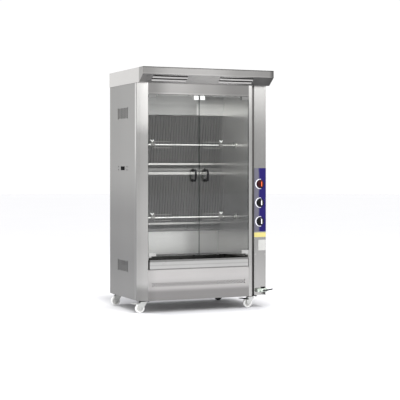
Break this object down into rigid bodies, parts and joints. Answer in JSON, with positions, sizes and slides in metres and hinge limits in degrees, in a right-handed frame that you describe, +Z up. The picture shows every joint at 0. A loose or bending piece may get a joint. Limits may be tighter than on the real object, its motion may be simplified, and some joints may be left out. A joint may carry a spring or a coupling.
{
  "type": "lamb rotisserie",
  "caption": "Upright steel gas oven on casters that roasts whole lambs on turning spits behind glass doors, with a canopy and a side control column.",
  "frame": {"origin": "on the floor, in the middle of the space that the whole oven takes", "axes": "+X to the right seen from the doors, +Y to the back, +Z up"},
  "size_m": [1.1914, 0.777, 1.9],
  "materials": {
    "cabinet_steel": "satin stainless sheet, grain upright",
    "oven_steel": "stainless sheet, dulled by heat",
    "front_steel": "satin stainless sheet",
    "burner_plate": "ribbed radiant plates, heat-dulled grey",
    "panel_film": "blue-violet control panel film",
    "bright_fittings": "polished metal",
    "gearmotor_case": "grey paint",
    "gas_pipe": "drawn gas pipe and brass taps",
    "valve_metal": "nickel-plated brass",
    "black_plastic": "black moulding",
    "door_glass": "toughened clear glass",
    "black_handle": "glossy black",
    "spit_steel": "bright stainless bar",
    "red_knob": "dark red",
    "black_knob": "black",
    "lever_metal": "dark grey dipped lever",
    "caster_steel": "zinc-plated pressings",
    "wheel_rubber": "pale grey rubber",
    "black_pedal": "black pedal"
  },
  "bodies": {
    "cabinet": {"base_frame": "cabinet_steel", "caster_plates": "cabinet_steel", "left_side_panel": "cabinet_steel", "right_side_panel": "cabinet_steel", "back_panel": "cabinet_steel", "left_inner_wall": "oven_steel", "right_inner_wall": "oven_steel", "oven_ceiling": "oven_steel", "oven_floor": "oven_steel", "flue_header": "oven_steel", "lower_back_wall": "oven_steel", "upper_burner": "burner_plate", "lower_burner": "burner_plate", "fat_ledges": "oven_steel", "left_jamb": "front_steel", "right_jamb": "front_steel", "valance": "front_steel", "front_apron": "front_steel", "canopy": "front_steel", "control_box": "cabinet_steel", "control_front": "front_steel", "switch_panel": "panel_film", "door_catches": "bright_fittings", "door_pivots": "bright_fittings", "spit_bearings": "gearmotor_case", "spit_gearmotors": "gearmotor_case", "gas_manifold": "gas_pipe", "gas_valve": "valve_metal", "side_cover": "black_plastic"},
    "left_door": {"left_glass": "door_glass", "left_handle": "black_handle", "left_door_fittings": "bright_fittings"},
    "right_door": {"right_glass": "door_glass", "right_handle": "black_handle", "right_door_fittings": "bright_fittings"},
    "drip_tray": {"drip_tray": "oven_steel"},
    "upper_spit": {"upper_spit": "spit_steel"},
    "lower_spit": {"lower_spit": "spit_steel"},
    "upper_left_fork": {"upper_left_fork": "spit_steel"},
    "upper_left_thumbscrew": {"upper_left_thumbscrew": "spit_steel"},
    "upper_right_fork": {"upper_right_fork": "spit_steel"},
    "upper_right_thumbscrew": {"upper_right_thumbscrew": "spit_steel"},
    "lower_left_fork": {"lower_left_fork": "spit_steel"},
    "lower_left_thumbscrew": {"lower_left_thumbscrew": "spit_steel"},
    "lower_right_fork": {"lower_right_fork": "spit_steel"},
    "lower_right_thumbscrew": {"lower_right_thumbscrew": "spit_steel"},
    "top_knob": {"top_knob": "red_knob"},
    "middle_knob": {"middle_knob": "black_knob"},
    "bottom_knob": {"bottom_knob": "black_knob"},
    "valve_lever": {"valve_lever": "lever_metal"},
    "front_left_caster": {"front_left_fork": "caster_steel"},
    "front_left_wheel": {"front_left_wheel": "wheel_rubber"},
    "front_right_caster": {"front_right_fork": "caster_steel"},
    "front_right_wheel": {"front_right_wheel": "wheel_rubber"},
    "rear_left_caster": {"rear_left_fork": "caster_steel"},
    "rear_left_wheel": {"rear_left_wheel": "wheel_rubber"},
    "rear_right_caster": {"rear_right_fork": "caster_steel"},
    "rear_right_wheel": {"rear_right_wheel": "wheel_rubber"},
    "front_left_pedal": {"front_left_pedal": "caster_steel"},
    "front_right_pedal": {"front_right_pedal": "black_pedal"}
  },
  "joints": [
    {"name": "left_door_hinge", "type": "hinge", "parent": "cabinet", "child": "left_door", "pos_m": [-0.46175, -0.2915, 1.067], "axis": [0, 0, -1], "range_deg": [0, 110]},
    {"name": "right_door_hinge", "type": "hinge", "parent": "cabinet", "child": "right_door", "pos_m": [0.36325, -0.2915, 1.067], "axis": [0, 0, 1], "range_deg": [0, 110]},
    {"name": "drip_tray_slide", "type": "slide", "parent": "cabinet", "child": "drip_tray", "axis": [0, -1, 0], "range_m": [0, 0.45]},
    {"name": "upper_spit_turn", "type": "hinge", "parent": "cabinet", "child": "upper_spit", "pos_m": [0, -0.0475, 1.309], "axis": [1, 0, 0], "continuous": true},
    {"name": "upper_left_fork_slide", "type": "slide", "parent": "upper_spit", "child": "upper_left_fork", "axis": [1, 0, 0], "range_m": [-0.08, 0.12]},
    {"name": "upper_left_thumbscrew_turn", "type": "hinge", "parent": "upper_left_fork", "child": "upper_left_thumbscrew", "pos_m": [-0.35075, -0.0475, 1.339], "axis": [0, 0, 1], "continuous": true},
    {"name": "upper_right_fork_slide", "type": "slide", "parent": "upper_spit", "child": "upper_right_fork", "axis": [-1, 0, 0], "range_m": [-0.08, 0.12]},
    {"name": "upper_right_thumbscrew_turn", "type": "hinge", "parent": "upper_right_fork", "child": "upper_right_thumbscrew", "pos_m": [0.25225, -0.0475, 1.339], "axis": [0, 0, 1], "continuous": true},
    {"name": "lower_spit_turn", "type": "hinge", "parent": "cabinet", "child": "lower_spit", "pos_m": [0, -0.0475, 0.726], "axis": [1, 0, 0], "continuous": true},
    {"name": "lower_left_fork_slide", "type": "slide", "parent": "lower_spit", "child": "lower_left_fork", "axis": [1, 0, 0], "range_m": [-0.08, 0.12]},
    {"name": "lower_left_thumbscrew_turn", "type": "hinge", "parent": "lower_left_fork", "child": "lower_left_thumbscrew", "pos_m": [-0.35075, -0.0475, 0.756], "axis": [0, 0, 1], "continuous": true},
    {"name": "lower_right_fork_slide", "type": "slide", "parent": "lower_spit", "child": "lower_right_fork", "axis": [-1, 0, 0], "range_m": [-0.08, 0.12]},
    {"name": "lower_right_thumbscrew_turn", "type": "hinge", "parent": "lower_right_fork", "child": "lower_right_thumbscrew", "pos_m": [0.25225, -0.0475, 0.756], "axis": [0, 0, 1], "continuous": true},
    {"name": "top_knob_turn", "type": "hinge", "parent": "cabinet", "child": "top_knob", "pos_m": [0.50175, -0.2725, 0.994], "axis": [0, -1, 0], "range_deg": [0, 180]},
    {"name": "middle_knob_turn", "type": "hinge", "parent": "cabinet", "child": "middle_knob", "pos_m": [0.50175, -0.2725, 0.843], "axis": [0, -1, 0], "range_deg": [0, 180]},
    {"name": "bottom_knob_turn", "type": "hinge", "parent": "cabinet", "child": "bottom_knob", "pos_m": [0.50175, -0.2725, 0.692], "axis": [0, -1, 0], "range_deg": [0, 180]},
    {"name": "valve_lever_turn", "type": "hinge", "parent": "cabinet", "child": "valve_lever", "pos_m": [0.51975, -0.295, 0.137], "axis": [0, -1, 0], "range_deg": [0, 90]},
    {"name": "front_left_swivel", "type": "hinge", "parent": "cabinet", "child": "front_left_caster", "pos_m": [-0.49975, -0.2375, 0.085], "axis": [0, 0, 1], "continuous": true},
    {"name": "front_left_roll", "type": "hinge", "parent": "front_left_caster", "child": "front_left_wheel", "pos_m": [-0.52775, -0.2375, 0.0375], "axis": [0, 1, 0], "continuous": true},
    {"name": "front_left_pedal_press", "type": "hinge", "parent": "front_left_caster", "child": "front_left_pedal", "pos_m": [-0.52975, -0.2375, 0.0677], "axis": [0, -1, 0], "range_deg": [0, 12]},
    {"name": "front_right_swivel", "type": "hinge", "parent": "cabinet", "child": "front_right_caster", "pos_m": [0.42525, -0.2375, 0.085], "axis": [0, 0, 1], "continuous": true},
    {"name": "front_right_roll", "type": "hinge", "parent": "front_right_caster", "child": "front_right_wheel", "pos_m": [0.39725, -0.2375, 0.0375], "axis": [0, 1, 0], "continuous": true},
    {"name": "front_right_pedal_press", "type": "hinge", "parent": "front_right_caster", "child": "front_right_pedal", "pos_m": [0.39525, -0.2375, 0.0677], "axis": [0, -1, 0], "range_deg": [0, 12]},
    {"name": "rear_left_swivel", "type": "hinge", "parent": "cabinet", "child": "rear_left_caster", "pos_m": [-0.49975, 0.3285, 0.085], "axis": [0, 0, 1], "continuous": true},
    {"name": "rear_left_roll", "type": "hinge", "parent": "rear_left_caster", "child": "rear_left_wheel", "pos_m": [-0.52775, 0.3285, 0.0375], "axis": [0, 1, 0], "continuous": true},
    {"name": "rear_right_swivel", "type": "hinge", "parent": "cabinet", "child": "rear_right_caster", "pos_m": [0.42525, 0.3285, 0.085], "axis": [0, 0, 1], "continuous": true},
    {"name": "rear_right_roll", "type": "hinge", "parent": "rear_right_caster", "child": "rear_right_wheel", "pos_m": [0.39725, 0.3285, 0.0375], "axis": [0, 1, 0], "continuous": true}
  ]
}
